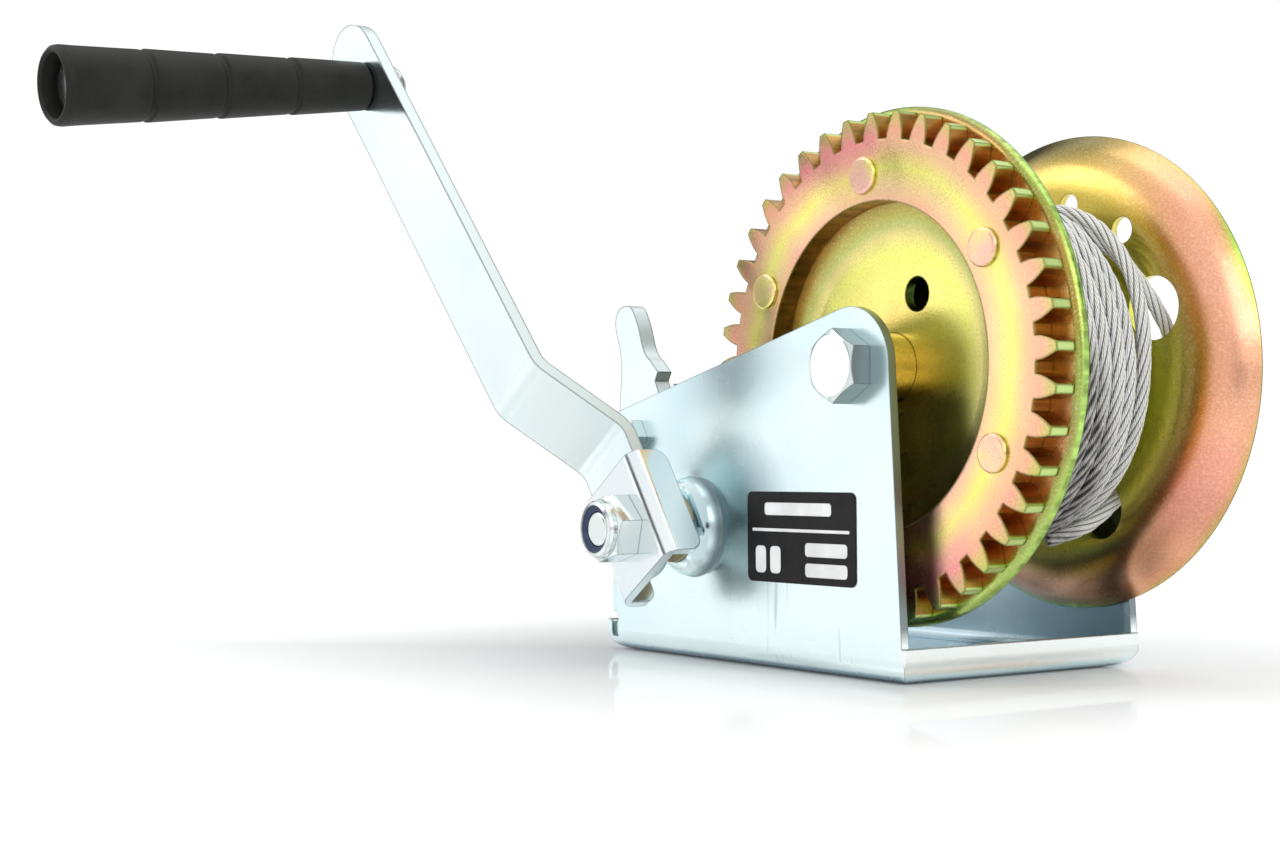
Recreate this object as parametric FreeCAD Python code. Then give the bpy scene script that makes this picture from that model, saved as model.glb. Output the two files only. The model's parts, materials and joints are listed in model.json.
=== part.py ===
import FreeCAD, Part
import math
import os

# Boat trailer hand winch, millimetres.
# Frame of reference: the origin is on the underside of the base, at the centre of its bolt holes.
# +X points to the rope drum, +Z is up, and the crank is on the -Y side.
# Every round part turns about an axis along Y, except the grip, which is square to the crank arm.

V = FreeCAD.Vector
Y_AXIS = V(0, 1, 0)

# Frame: one bent sheet with two side plates and a low lip at the front and the rear
SHEET = 2.5
PLATE_IN = 40.0
PLATE_OUT = PLATE_IN + SHEET
BASE_HALF_LENGTH = 68.0
LIP_HEIGHT = 9.0
BEND_R = 6.0
CORNER_R = 0.8
RELIEF_W, RELIEF_LOW_Z = 2.8, 4.0
PLATE_REAR_X = -64.5
PLATE_REAR_CORNER_R = 4.0
TOP_SLOPE = math.radians(12.9)
FRONT_LEAN = math.radians(3.2)
MOUNT_X = 90.0
MOUNT_Y = 50.0
MOUNT_HOLE_R = 4.5

# Axes
AXLE_X, AXLE_Z = 47.5, 81.0
SHAFT_X, SHAFT_Z = -22.5, 38.0
PIVOT_X, PIVOT_Z = -51.5, 64.0
AXLE_CORNER_R = 15.5

# Gear pair
MODULE = 3.1
GEAR_TEETH = 41
PINION_TEETH = 12
PRESSURE_ANGLE = math.radians(20)
GEAR_TIP_R = 66.5
GEAR_ROOT_R = 59.4
GEAR_BORE_R = 43.3
GEAR_PHASE = 37.0
PINION_TIP_R = 21.3
PINION_ROOT_R = 14.9
PINION_SPACE_ANGLE = 27.97
TOOTH_THINNING = 0.93
GEAR_Y0, GEAR_Y1 = -34.7, -28.7
PINION_Y0, PINION_Y1 = -35.3, -29.1

# Drum
FLANGE_SHEET = 3.0
FLANGE_R = 68.2
DISH_DEPTH = 1.5
DISH_INNER_R, DISH_OUTER_R = 36.0, 43.0
DISH_BEND_R = 22.0
RIVET_COUNT, RIVET_PITCH_R, RIVET_PHASE = 6, 50.4, 33.0
RIVET_HEAD_R, RIVET_HEAD_H, RIVET_SHANK_R = 5.0, 1.2, 3.0
FAR_FACE_Y = 28.0
FAR_SHEET = 2.0
FAR_FLAT_R = 58.5
FAR_BEND_R = 18.0
FAR_R = 66.0
FAR_RIM_Y = 38.9
BARREL_R = 27.0
BARREL_WALL = 2.0
SLEEVE_R = 9.0
RUNNING_FIT = 0.06
ROPE_R = 2.0
WINDING_R, WINDING_END_R = 46.2, 42.6
ANCHOR_HOLE_R = 4.6
ANCHOR_PITCH_R, ANCHOR_ANGLE = 20.9, 63.3
# Far flange holes: distance right of the axle, height above it, radius
FAR_HOLES = ((9.8, 45.1, 3.35), (29.0, 36.6, 3.6), (39.7, 15.1, 8.5), (19.8, -38.0, 8.0))

# Crank
M10_R, M8_R, M6_R = 5.0, 4.0, 3.0
SHAFT_R = 7.0
SHAFT_BUSH_R = 8.5
RATCHET_TEETH, RATCHET_R, RATCHET_ROOT_R = 12, 24.0, 20.0
RATCHET_Y0 = -39.6
HUB_SEAT_Y = -57.5
HUB_WASHER_H = 2.0
ARM_T, ARM_W = 4.0, 25.0
ARM_ANGLE = 34.6
ARM_BEND_1, ARM_BEND_2 = 26.0, 47.8
ARM_TILT = 0.130
ARM_END = 173.9
ARM_HUB_OVERHANG = 2.2
GRIP_AT = 165.1
CLIP_SHEET = 3.0
CLIP_SIDE = 2.5
CLIP_DEPTH = 12.0

# Grip
GRIP_LENGTH = 100.5
GRIP_GAP = 0.4
GRIP_R0, GRIP_R1 = 7.5, 11.5
GRIP_GROOVES = (26.0, 50.0, 73.5)
GRIP_RECESS_R, GRIP_RECESS_DEPTH = 9.2, 10.0
GRIP_PIN_R = 4.5

# Pawl
PAWL_Y0, PAWL_Y1 = -37.9, -32.9
PAWL_BUSH_R = 5.0


def save(name, shape):
    shape.exportStep(os.path.join("parts", name + ".step"))


def rod(radius, y0, y1, x=0.0, z=0.0):
    """Round bar along Y."""
    return Part.makeCylinder(radius, y1 - y0, V(x, y0, z), Y_AXIS)


def tube(outer, inner, y0, y1, x=0.0, z=0.0):
    return rod(outer, y0, y1, x, z).cut(rod(inner, y0, y1, x, z))


def turned(profile, x=0.0, z=0.0):
    """Solid of revolution about the Y line through x, z, from (radius, y) corners."""
    corners = [V(x + r, y, z) for r, y in profile]
    face = Part.Face(Part.makePolygon(corners + corners[:1]))
    return face.revolve(V(x, 0, z), Y_AXIS, 360)


def outline(points, y0, y1):
    """Plate with straight edges between (x, z) corners."""
    corners = [V(x, y0, z) for x, z in points]
    return Part.Face(Part.makePolygon(corners + corners[:1])).extrude(V(0, y1 - y0, 0))


def polar(radius, degrees, y=0.0, x=0.0, z=0.0):
    a = math.radians(degrees)
    return V(x + radius * math.cos(a), y, z + radius * math.sin(a))


def filleted(shape, radius, wanted):
    """Rounds the edges for which wanted(edge) holds."""
    return shape.makeFillet(radius, [e for e in shape.Edges if wanted(e)])


def hexagon(across_flats, y0, y1, corner=90.0):
    r = across_flats / math.sqrt(3)
    points = [polar(r, corner + 60 * i) for i in range(6)]
    return outline([(p.x, p.z) for p in points], y0, y1)


def hex_head(across_flats, height, corner=90.0):
    """Hexagon head from its seat at y 0 to -height, with its outer corners turned off."""
    flat_r = across_flats / 2
    corner_r = across_flats / math.sqrt(3) + 0.1
    drop = (corner_r - 0.95 * flat_r) * math.tan(math.radians(30))
    envelope = [(0, 0), (corner_r, 0), (corner_r, -height + drop), (0.95 * flat_r, -height), (0, -height)]
    return hexagon(across_flats, -height, 0, corner).common(turned(envelope))


def lock_nut(across_flats, height, bore_r, corner=90.0):
    """Self-locking nut from its seat at y 0 to -height, with the groove for its nylon ring."""
    flat_r = across_flats / 2
    hex_height = 0.68 * height
    collar_r = 0.96 * flat_r
    body = hex_head(across_flats, hex_height + 0.6, corner)
    collar = [
        (0, -hex_height),
        (collar_r, -hex_height),
        (collar_r, -height + 1.4),
        (collar_r - 0.5, -height + 0.5),
        (collar_r - 1.4, -height),
        (0, -height),
    ]
    ring_space = rod(bore_r + 1.6, -height, -hex_height - 0.4)
    return body.fuse(turned(collar)).cut(rod(bore_r, -height, 0)).cut(ring_space).removeSplitter()


def nut_ring(height, bore_r):
    """Nylon ring that sits in the collar of a self-locking nut."""
    return tube(bore_r + 1.6, bore_r, -height + 1.2, -0.68 * height - 0.4)


def placed(shape, placement):
    copy = shape.copy()
    copy.Placement = placement.multiply(copy.Placement)
    return copy


def moved(shape, place, rotation=None):
    return placed(shape, FreeCAD.Placement(place, rotation or FreeCAD.Rotation()))


FACE_FAR = FreeCAD.Rotation(V(0, 0, 1), 180)
ALONG_ARM = FreeCAD.Rotation(Y_AXIS, -(90 + ARM_ANGLE))
HUB = V(SHAFT_X, 0, SHAFT_Z)
AXLE = V(AXLE_X, 0, AXLE_Z)


# ---------------------------------------------------------------- frame

def plate_outline():
    """Side plate from above the base bend, with the round corner about the axle."""
    top_tangent = polar(AXLE_CORNER_R, 90 + math.degrees(TOP_SLOPE), 0, AXLE_X, AXLE_Z)
    front_tangent = polar(AXLE_CORNER_R, math.degrees(FRONT_LEAN), 0, AXLE_X, AXLE_Z)
    arc_top = polar(AXLE_CORNER_R, 50, 0, AXLE_X, AXLE_Z)
    rear_top = V(PLATE_REAR_X, 0, top_tangent.z - math.tan(TOP_SLOPE) * (top_tangent.x - PLATE_REAR_X))
    low_front = V(front_tangent.x + math.tan(FRONT_LEAN) * (front_tangent.z - LIP_HEIGHT), 0, LIP_HEIGHT)
    corners = [
        front_tangent,
        low_front,
        V(BASE_HALF_LENGTH - BEND_R, 0, BEND_R),
        V(PLATE_REAR_X + 2, 0, BEND_R),
        V(PLATE_REAR_X, 0, LIP_HEIGHT),
        rear_top,
        top_tangent,
    ]
    edges = [Part.makeLine(a, b) for a, b in zip(corners, corners[1:])]
    edges.append(Part.Arc(top_tangent, arc_top, front_tangent).toShape())
    return Part.Face(Part.Wire(edges))


def side_plate(y0):
    plate = plate_outline().extrude(V(0, SHEET, 0))
    plate.translate(V(0, y0, 0))

    def rear_corner(edge):
        middle = edge.CenterOfMass
        along_y = abs(edge.BoundBox.YLength - SHEET) < 0.01 and edge.Length < SHEET + 0.01
        return along_y and abs(middle.x - PLATE_REAR_X) < 0.1 and middle.z > 40

    return filleted(plate, PLATE_REAR_CORNER_R, rear_corner)


def tray_block(half_length, half_width, bottom, height, bend_r):
    """Block whose bottom edges are rounded with mitred corners."""
    low = V(-half_length, -half_width, bottom)
    block = Part.makeBox(2 * half_length, 2 * half_width, height, low)

    def bottom_along(size_name):
        def wanted(edge):
            box = edge.BoundBox
            return box.ZMax < bottom + 0.1 and getattr(box, size_name) > 1
        return wanted

    long_bends = filleted(block, bend_r, bottom_along("XLength"))
    end_bends = filleted(block, bend_r, bottom_along("YLength"))
    upright = filleted(block, CORNER_R, lambda e: e.BoundBox.ZLength > height - 0.1)
    return long_bends.common(end_bends).common(upright)


def tray():
    """Base bent up on all four sides, open at the top, with a relief slot in the rear corners."""
    height = 3 * LIP_HEIGHT
    outer = tray_block(BASE_HALF_LENGTH, PLATE_OUT, 0, height, BEND_R)
    inner = tray_block(BASE_HALF_LENGTH - SHEET, PLATE_IN, SHEET, height, BEND_R - SHEET)
    lid = Part.makeBox(200, 120, height, V(-100, -60, LIP_HEIGHT))
    return outer.cut(inner).cut(lid)


def relief_slots():
    """Slots between the rear lip and the side plates, round at the top."""
    x = SHEET - BASE_HALF_LENGTH + RELIEF_W / 2
    length = LIP_HEIGHT + 0.6 - RELIEF_LOW_Z
    slot = Part.makeBox(RELIEF_W, 3 * PLATE_OUT, length, V(x - RELIEF_W / 2, -1.5 * PLATE_OUT, RELIEF_LOW_Z))
    slot = slot.fuse(rod(RELIEF_W / 2 + 0.6, -1.5 * PLATE_OUT, 1.5 * PLATE_OUT, x, LIP_HEIGHT + 0.6))
    between = Part.makeBox(200, 2 * (PLATE_IN - BEND_R + SHEET), 60, V(-100, BEND_R - SHEET - PLATE_IN, -10))
    return slot.cut(between)


def shaft_boss():
    """Bearing boss drawn outward from the near plate."""
    base_r, top_r, top_y = 14.4, 10.2, -49.3
    y0 = -PLATE_IN
    outer_mid = V(13.1, -46.6, 0)
    inner_mid = V(10.9, -44.4, 0)
    points = [
        V(base_r, y0, 0),
        V(base_r, -PLATE_OUT, 0),
        V(top_r, top_y, 0),
        V(SHAFT_BUSH_R, top_y, 0),
        V(SHAFT_BUSH_R, top_y + SHEET, 0),
        V(base_r - SHEET, y0, 0),
    ]
    edges = [
        Part.makeLine(points[0], points[1]),
        Part.Arc(points[1], outer_mid, points[2]).toShape(),
        Part.makeLine(points[2], points[3]),
        Part.makeLine(points[3], points[4]),
        Part.Arc(points[4], inner_mid, points[5]).toShape(),
        Part.makeLine(points[5], points[0]),
    ]
    boss = Part.Face(Part.Wire(edges)).revolve(V(0, 0, 0), Y_AXIS, 360)
    boss.translate(HUB)
    return boss


def frame():
    body = tray().fuse(side_plate(-PLATE_OUT)).fuse(side_plate(PLATE_IN))
    body = body.cut(rod(14.4 - SHEET, -PLATE_OUT, -PLATE_IN, SHAFT_X, SHAFT_Z)).fuse(shaft_boss())
    body = body.cut(rod(SHAFT_BUSH_R, PLATE_IN, PLATE_OUT, SHAFT_X, SHAFT_Z))
    body = body.cut(rod(M10_R, -PLATE_OUT, PLATE_OUT, AXLE_X, AXLE_Z))
    body = body.cut(rod(M6_R, -PLATE_OUT, -PLATE_IN, PIVOT_X, PIVOT_Z))
    body = body.cut(relief_slots())
    for i in (-1, 1):
        for j in (-1, 1):
            place = V(i * MOUNT_X / 2, j * MOUNT_Y / 2, -1)
            body = body.cut(Part.makeCylinder(MOUNT_HOLE_R, SHEET + 2, place))
    return body.removeSplitter()


def label():
    """Rating plate stuck on the near side plate."""
    x0, x1, z0, z1, thick = 3.8, 49.85, 23.7, 48.3, 0.3
    sheet = Part.makeBox(x1 - x0, thick, z1 - z0, V(x0, -PLATE_OUT - thick, z0))
    return filleted(sheet, 2.0, lambda e: e.Length < thick + 0.01)


def root_parts():
    washer_y = PLATE_OUT + 2.0
    save("frame", frame())
    save("label", label())
    head = moved(hex_head(17, 6.4), V(AXLE_X, -PLATE_OUT, AXLE_Z))
    shank = rod(M10_R, -PLATE_OUT, washer_y + 12.5, AXLE_X, AXLE_Z)
    save("axle_bolt", head.fuse(shank).removeSplitter())
    save("axle_washer", tube(10.0, M10_R, PLATE_OUT, washer_y, AXLE_X, AXLE_Z))
    save("axle_nut", moved(lock_nut(17, 10, M10_R), V(AXLE_X, washer_y, AXLE_Z), FACE_FAR))
    save("axle_nut_ring", moved(nut_ring(10, M10_R), V(AXLE_X, washer_y, AXLE_Z), FACE_FAR))
    save("axle_sleeve", tube(SLEEVE_R, M10_R, -PLATE_IN, PLATE_IN, AXLE_X, AXLE_Z))
    bore = SHAFT_R + RUNNING_FIT
    near = tube(SHAFT_BUSH_R, bore, -49.3, -PLATE_IN, SHAFT_X, SHAFT_Z)
    near_collar = tube(10.0, bore, -50.3, -49.3, SHAFT_X, SHAFT_Z)
    save("shaft_bush_near", near.fuse(near_collar).removeSplitter())
    far = tube(SHAFT_BUSH_R, bore, PLATE_IN, PLATE_OUT + 1, SHAFT_X, SHAFT_Z)
    far_collar = tube(10.5, bore, PLATE_IN - 1.5, PLATE_IN, SHAFT_X, SHAFT_Z)
    save("shaft_bush_far", far.fuse(far_collar).removeSplitter())


# ---------------------------------------------------------------- gears

def involute(angle):
    return math.tan(angle) - angle


def gear_outline(teeth, tip_r, root_r, space_angle, y):
    """Closed tooth outline; space_angle is the direction of one gap's centre in degrees."""
    pitch_r = MODULE * teeth / 2
    base_r = pitch_r * math.cos(PRESSURE_ANGLE)
    half_at_pitch = TOOTH_THINNING * math.pi / (2 * teeth)
    start_r = max(base_r, root_r)
    radii = [start_r + (tip_r - start_r) * i / 4 for i in range(5)]

    def half_angle(r):
        return half_at_pitch + involute(PRESSURE_ANGLE) - involute(math.acos(min(1.0, base_r / r)))

    def point(r, angle):
        return polar(r, math.degrees(angle), y)

    step = 2 * math.pi / teeth
    edges = []
    for i in range(teeth):
        middle = math.radians(space_angle) + (i + 0.5) * step
        rise = [point(r, middle - half_angle(r)) for r in radii]
        fall = [point(r, middle + half_angle(r)) for r in reversed(radii)]
        foot = half_angle(radii[0])
        root_in = point(root_r, middle - foot)
        root_out = point(root_r, middle + foot)
        next_in = point(root_r, middle + step - foot)
        if start_r > root_r:
            edges.append(Part.makeLine(root_in, rise[0]))
        for flank in (rise, fall):
            curve = Part.BSplineCurve()
            curve.interpolate(flank)
            edges.append(curve.toShape())
            if flank is rise:
                edges.append(Part.Arc(rise[-1], point(tip_r, middle), fall[0]).toShape())
        if start_r > root_r:
            edges.append(Part.makeLine(fall[-1], root_out))
        edges.append(Part.Arc(root_out, point(root_r, middle + step / 2), next_in).toShape())
    return Part.Face(Part.Wire(edges))


def gear(teeth, tip_r, root_r, bore_r, space_angle, y0, y1):
    body = gear_outline(teeth, tip_r, root_r, space_angle, y0).extrude(V(0, y1 - y0, 0))
    return body.cut(rod(bore_r, y0, y1))


def rivet_centres(y):
    return [polar(RIVET_PITCH_R, RIVET_PHASE + 60 * i, y, AXLE_X, AXLE_Z) for i in range(RIVET_COUNT)]


def rivet(centre):
    """Flat round head on the gear, a shank, and a closing head behind the flange."""
    back = GEAR_Y1 + FLANGE_SHEET
    top = GEAR_Y0 - RIVET_HEAD_H
    head = rod(RIVET_HEAD_R, top, GEAR_Y0, centre.x, centre.z)
    head = filleted(head, 0.8, lambda e: e.BoundBox.YMax < top + 0.01)
    shank = rod(RIVET_SHANK_R, GEAR_Y0, back, centre.x, centre.z)
    close = rod(RIVET_HEAD_R, back, back + RIVET_HEAD_H, centre.x, centre.z)
    return head.fuse(shank).fuse(close).removeSplitter()


# ---------------------------------------------------------------- drum

def anchor_axis(y0, y1, radius):
    place = polar(ANCHOR_PITCH_R, ANCHOR_ANGLE, 0, AXLE_X, AXLE_Z)
    return rod(radius, y0, y1, place.x, place.z)


def at_circle(radius, y):
    """Test for the circular edge of that radius about the axle at y."""
    def wanted(edge):
        box = edge.BoundBox
        return abs(box.XLength - 2 * radius) < 0.1 and abs(box.YMax - y) < 0.1 and box.YLength < 0.1
    return wanted


def gear_side_flange():
    front = GEAR_Y1
    back = front + FLANGE_SHEET
    profile = [
        (SLEEVE_R + RUNNING_FIT, front + DISH_DEPTH),
        (DISH_INNER_R, front + DISH_DEPTH),
        (DISH_OUTER_R, front),
        (FLANGE_R, front),
        (FLANGE_R, back),
        (DISH_OUTER_R + 0.6, back),
        (DISH_INNER_R + 0.6, back + DISH_DEPTH),
        (SLEEVE_R + RUNNING_FIT, back + DISH_DEPTH),
    ]
    flange = turned(profile, AXLE_X, AXLE_Z)
    flange = filleted(flange, 2.2, at_circle(FLANGE_R, front))
    flange = filleted(flange, DISH_BEND_R, at_circle(DISH_INNER_R, front + DISH_DEPTH))
    flange = filleted(flange, DISH_BEND_R, at_circle(DISH_INNER_R + 0.6, back + DISH_DEPTH))
    flange = flange.cut(anchor_axis(front, back + DISH_DEPTH, ANCHOR_HOLE_R))
    for centre in rivet_centres(front):
        flange = flange.cut(rod(RIVET_SHANK_R, front, back, centre.x, centre.z))
    return flange


def far_flange():
    """Flat disc whose brim flares away from the rope."""
    back = FAR_FACE_Y + FAR_SHEET
    run, rise = FAR_R - FAR_FLAT_R, FAR_RIM_Y - FAR_FACE_Y
    slant = math.hypot(run, rise)
    back_r = FAR_FLAT_R + (FAR_SHEET * run - FAR_SHEET * slant) / rise
    profile = [
        (SLEEVE_R + RUNNING_FIT, FAR_FACE_Y),
        (FAR_FLAT_R, FAR_FACE_Y),
        (FAR_R, FAR_RIM_Y),
        (FAR_R - FAR_SHEET * slant / rise, FAR_RIM_Y),
        (back_r, back),
        (SLEEVE_R + RUNNING_FIT, back),
    ]
    flange = turned(profile, AXLE_X, AXLE_Z)
    flange = filleted(flange, FAR_BEND_R, at_circle(FAR_FLAT_R, FAR_FACE_Y))
    flange = filleted(flange, FAR_BEND_R - FAR_SHEET, at_circle(back_r, back))
    for x, z, r in FAR_HOLES:
        flange = flange.cut(rod(r, FAR_FACE_Y - 1, back + 1, AXLE_X + x, AXLE_Z + z))
    return flange


def rounded_path(points):
    """Straight runs joined by the largest tangent arcs that the runs allow, and the smallest radius."""
    edges = []
    start = points[0]
    smallest = 1e9
    for before, corner, after in zip(points, points[1:], points[2:]):
        into = (corner - before).normalize()
        out = (after - corner).normalize()
        turn = into.getAngle(out)
        cut = 0.45 * min((corner - before).Length, (after - corner).Length)
        radius = cut / math.tan(turn / 2)
        smallest = min(smallest, radius)
        first = corner - into * cut
        last = corner + out * cut
        inward = (out - into).normalize()
        middle = corner + inward * (math.hypot(cut, radius) - radius)
        edges.append(Part.makeLine(start, first))
        edges.append(Part.Arc(first, middle, last).toShape())
        start = last
    edges.append(Part.makeLine(start, points[-1]))
    return Part.Wire(edges), smallest


def cord(points, radius):
    path, smallest = rounded_path(points)
    direction = (points[1] - points[0]).normalize()
    section = Part.Wire(Part.makeCircle(radius, points[0], direction))
    solid = path.makePipeShell([section], True, False)
    ratio = solid.Volume / (math.pi * radius ** 2 * path.Length)
    print("cord length %.1f, smallest radius %.1f, volume ratio %.3f" % (path.Length, smallest, ratio))
    return solid


def rope_tail():
    """Free end: over the winding, out through one flange hole and back through another."""
    route = [
        (28.6, 20.5, 33.4),
        (34.2, 22.6, 28.0),
        (38.9, 27.0, 19.2),
        (41.4, 35.2, 5.0),
        (37.6, 36.4, -12.0),
        (27.0, 36.0, -28.6),
        (20.2, 26.6, -39.0),
        (20.5, 16.5, -42.0),
    ]
    return cord([AXLE + V(x, y, z) for x, y, z in route], ROPE_R)


def rope_lead_in():
    """Inner end: from the first turn through the barrel wall to the ferrule."""
    route = [(31.0, 12.0), (ANCHOR_PITCH_R, -2.0), (ANCHOR_PITCH_R, -21.0)]
    points = [polar(r, ANCHOR_ANGLE, y, AXLE_X, AXLE_Z) for r, y in route]
    return cord(points, ROPE_R)


def drum_parts():
    disc_back = GEAR_Y1 + FLANGE_SHEET + DISH_DEPTH
    gear_body = gear(GEAR_TEETH, GEAR_TIP_R, GEAR_ROOT_R, GEAR_BORE_R,
                     GEAR_PHASE + 180.0 / GEAR_TEETH, GEAR_Y0, GEAR_Y1)
    gear_body.translate(AXLE)
    for centre in rivet_centres(0):
        gear_body = gear_body.cut(rod(RIVET_SHANK_R, GEAR_Y0, GEAR_Y1, centre.x, centre.z))
    save("gear_ring", gear_body)
    save("gear_rivets", Part.makeCompound([rivet(c) for c in rivet_centres(0)]))
    save("flange_gear_side", gear_side_flange())
    save("flange_far_side", far_flange())
    lead_in = rope_lead_in()
    barrel = tube(BARREL_R, BARREL_R - BARREL_WALL, disc_back, FAR_FACE_Y, AXLE_X, AXLE_Z)
    save("drum_barrel", barrel.cut(lead_in))
    winding = turned(
        [
            (BARREL_R, disc_back),
            (WINDING_R, disc_back),
            (WINDING_R, disc_back + 36),
            (WINDING_END_R, disc_back + 46),
            (WINDING_END_R, FAR_FACE_Y - 1.5),
            (WINDING_END_R - 1.5, FAR_FACE_Y),
            (BARREL_R, FAR_FACE_Y),
        ],
        AXLE_X,
        AXLE_Z,
    )
    save("rope_winding", winding)
    save("rope_tail", rope_tail().cut(winding))
    save("rope_inner_end", lead_in.cut(winding))
    save("rope_ferrule", anchor_axis(-19, -7, 3.6).cut(lead_in))


# ---------------------------------------------------------------- crank

def crank_shaft():
    clip_y = PLATE_OUT + 1.5
    body = rod(SHAFT_R, HUB_SEAT_Y, clip_y + 4)
    body = body.cut(tube(SHAFT_R + 1, SHAFT_R - 1, clip_y, clip_y + 1.2))
    flats_end = HUB_SEAT_Y - HUB_WASHER_H - ARM_T
    body = body.fuse(flatted(HUB_SEAT_Y, flats_end))
    body = body.fuse(rod(M10_R, flats_end - 12.1, flats_end))
    tip = body.removeSplitter()
    tip = filleted(tip, 1.2, lambda e: e.BoundBox.YMax < flats_end - 12.0)
    tip.Placement = FreeCAD.Placement(HUB, FreeCAD.Rotation())
    return tip


def flatted(y0, y1):
    """Section with two flats that drives the arm, turned to the arm's direction."""
    low, high = min(y0, y1), max(y0, y1)
    block = Part.makeBox(20, high - low, 9.6, V(-10, low, -4.8))
    piece = rod(6.2, low, high).common(block)
    piece.rotate(V(0, 0, 0), Y_AXIS, -(90 + ARM_ANGLE))
    return piece


def ratchet_wheel():
    """Saw-tooth wheel that the pawl catches."""
    step = 360.0 / RATCHET_TEETH
    points = []
    for i in range(RATCHET_TEETH):
        crest = 7.5 + i * step
        points.append(polar(RATCHET_R, crest))
        points.append(polar(RATCHET_R, crest + 3.5))
        points.append(polar(RATCHET_ROOT_R, crest + step))
    wheel = outline([(p.x, p.z) for p in points], RATCHET_Y0, PINION_Y0)
    return moved(wheel.cut(rod(SHAFT_R, RATCHET_Y0, PINION_Y0)), HUB)


def mitred(points, thickness):
    """Second side of a bent strip, offset square to each run."""
    runs = [((b[0] - a[0]), (b[1] - a[1])) for a, b in zip(points, points[1:])]
    normals = [(-dy / math.hypot(dx, dy), dx / math.hypot(dx, dy)) for dx, dy in runs]
    result = []
    for i, (s, y) in enumerate(points):
        before = normals[max(i - 1, 0)]
        after = normals[min(i, len(normals) - 1)]
        scale = thickness / (1 + before[0] * after[0] + before[1] * after[1])
        result.append((s + scale * (before[0] + after[0]), y + scale * (before[1] + after[1])))
    return result


def arm_face_y(s):
    """Outer face of the arm's tilted end at distance s from the hub."""
    return HUB_SEAT_Y - HUB_WASHER_H - ARM_T - (ARM_BEND_2 - ARM_BEND_1) - ARM_TILT * (s - ARM_BEND_2)


def crank_arm():
    """Flat bar cranked outward, made along X and then turned to its direction."""
    hub_face = HUB_SEAT_Y - HUB_WASHER_H - ARM_T
    end = ARM_END + ARM_W
    outer = [(-ARM_W, hub_face), (ARM_BEND_1, hub_face), (ARM_BEND_2, arm_face_y(ARM_BEND_2)), (end, arm_face_y(end))]
    inner = mitred(outer, ARM_T)
    corners = [V(s, y, -ARM_W / 2) for s, y in outer + inner[::-1]]
    strip = Part.Face(Part.makePolygon(corners + corners[:1])).extrude(V(0, 0, ARM_W))

    def bend(point):
        def wanted(edge):
            middle = edge.CenterOfMass
            near = math.hypot(middle.x - point[0], middle.y - point[1]) < 0.2
            return near and edge.BoundBox.ZLength > ARM_W - 0.1
        return wanted

    for point, radius in ((outer[1], 6.0), (inner[1], 10.0), (outer[2], 10.0), (inner[2], 6.0)):
        strip = filleted(strip, radius, bend(point))
    half = ARM_W / 2
    blank = Part.makeBox(ARM_END + ARM_HUB_OVERHANG, 80, ARM_W, V(-ARM_HUB_OVERHANG, -120, -half))
    for s in (-ARM_HUB_OVERHANG, ARM_END):
        blank = blank.fuse(rod(half, -120, -40, s, 0))
    arm = strip.common(blank)
    arm.Placement = FreeCAD.Placement(HUB, ALONG_ARM)
    arm = arm.cut(moved(flatted(HUB_SEAT_Y, hub_face), HUB))
    return arm.cut(grip_place(rod(M8_R, -1, ARM_T + 1)))


def grip_place(shape):
    """Puts a part made along Y, with the arm's outer face at y 0, on the grip's axis."""
    tilt = FreeCAD.Rotation(V(0, 0, 1), -math.degrees(math.atan(ARM_TILT)))
    spot = V(GRIP_AT, arm_face_y(GRIP_AT), 0)
    local = FreeCAD.Placement(spot, tilt)
    return placed(shape, FreeCAD.Placement(HUB, ALONG_ARM).multiply(local))


def crank_bracket():
    """U clip over the arm's hub, clamped by the crank nut."""
    web_in = HUB_SEAT_Y - HUB_WASHER_H - ARM_T
    web_out = web_in - CLIP_SHEET
    half = ARM_W / 2
    width = ARM_W + 2 * CLIP_SIDE
    block = Part.makeBox(33.4, CLIP_DEPTH, width, V(-16.8, web_out, -width / 2))
    space = Part.makeBox(60, CLIP_DEPTH, ARM_W, V(-30, web_in, -half))
    web_only = Part.makeBox(3, CLIP_DEPTH, width, V(-30, web_in, -width / 2))
    clip = block.cut(space).cut(web_only)

    def long_edge(side, radius_z):
        def wanted(edge):
            middle = edge.CenterOfMass
            along = edge.BoundBox.XLength > 30
            return along and abs(middle.y - web_out) < 0.1 and abs(middle.z - side * radius_z) < 0.1
        return wanted

    clip = filleted(clip, 5.2, long_edge(1, width / 2))
    clip = filleted(clip, 4.0, long_edge(-1, width / 2))

    def flange_corner(edge):
        middle = edge.CenterOfMass
        across = abs(edge.BoundBox.ZLength - CLIP_SIDE) < 0.05 and edge.Length < CLIP_SIDE + 0.05
        return across and abs(middle.y - (web_out + CLIP_DEPTH)) < 0.1

    clip = filleted(clip, 4.0, flange_corner)
    clip.Placement = FreeCAD.Placement(HUB, ALONG_ARM)
    return clip.cut(rod(M10_R, web_out - 1, web_in + 1, SHAFT_X, SHAFT_Z))


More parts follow.
